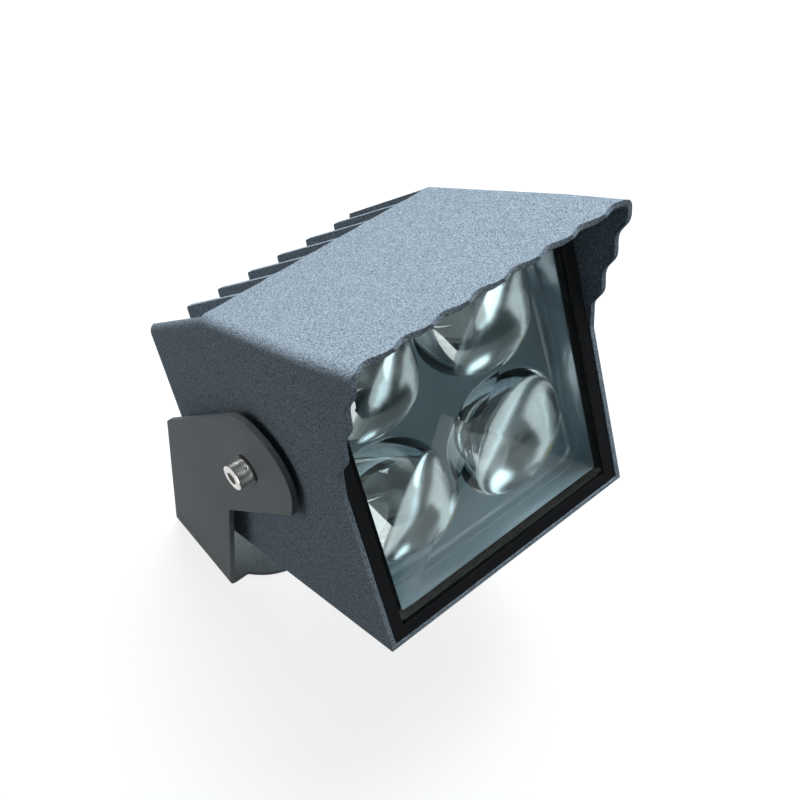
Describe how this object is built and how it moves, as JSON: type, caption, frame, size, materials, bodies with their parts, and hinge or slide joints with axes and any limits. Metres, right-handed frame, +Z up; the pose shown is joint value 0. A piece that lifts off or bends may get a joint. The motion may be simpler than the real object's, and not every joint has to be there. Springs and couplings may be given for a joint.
{
  "type": "outdoor spotlight",
  "caption": "Finned metal outdoor spotlight head with a scalloped hood and a grid of domed lenses over mirror cups behind flat glass, tilting in a U-shaped bracket.",
  "frame": {"origin": "middle of the mounting face under the bracket's foot, on the axis of its centre hole", "axes": "+Z up from the foot, +X to the lamp's right along the tilt axis, the beam leaves towards -Y"},
  "size_m": [0.176, 0.2026, 0.2877],
  "materials": {
    "casting_paint": "fine sand-textured powder coat, dark slate grey",
    "bracket_paint": "satin powder coat, dark grey",
    "clear_glass": "clear tempered glass",
    "border_ink": "black ceramic print, glossy behind the glass",
    "seal_rubber": "black silicone rubber",
    "tray_coat": "silver-grey satin lacquer on moulded plastic",
    "mirror_coat": "vacuum-metallised mirror",
    "stainless": "plain stainless steel",
    "black_steel": "black zinc on steel",
    "board_metal": "white solder mask on aluminium",
    "chip_phosphor": "yellow phosphor gel on a ceramic carrier",
    "driver_case": "black potted plastic case",
    "gland_plastic": "black nylon",
    "wire_sleeve": "silicone wire sleeve"
  },
  "bodies": {
    "bracket": {"u_bracket": "bracket_paint"},
    "head": {"housing": "casting_paint", "front_glass": "clear_glass", "glass_border": "border_ink", "glass_seal": "seal_rubber", "reflector_tray": "tray_coat", "tray_screws": "stainless", "led_board": "board_metal", "board_screws": "stainless", "led_wires": "wire_sleeve", "driver": "driver_case", "rear_cover": "casting_paint", "cover_seal": "seal_rubber", "cover_screws": "stainless", "driver_screws": "stainless", "gland_body": "gland_plastic", "gland_nut": "gland_plastic", "gland_seal": "seal_rubber", "gland_lock_nut": "gland_plastic", "tilt_screws": "stainless", "tilt_washers": "black_steel", "reflector_1": "mirror_coat", "led_chip_1": "chip_phosphor", "lens_1": "clear_glass", "reflector_2": "mirror_coat", "led_chip_2": "chip_phosphor", "lens_2": "clear_glass", "reflector_3": "mirror_coat", "led_chip_3": "chip_phosphor", "lens_3": "clear_glass", "reflector_4": "mirror_coat", "led_chip_4": "chip_phosphor", "lens_4": "clear_glass"}
  },
  "joints": [
    {"name": "head_tilt", "type": "hinge", "parent": "bracket", "child": "head", "pos_m": [0, -0.042, 0.152], "axis": [-1, 0, 0], "range_deg": [-90, 60]}
  ]
}
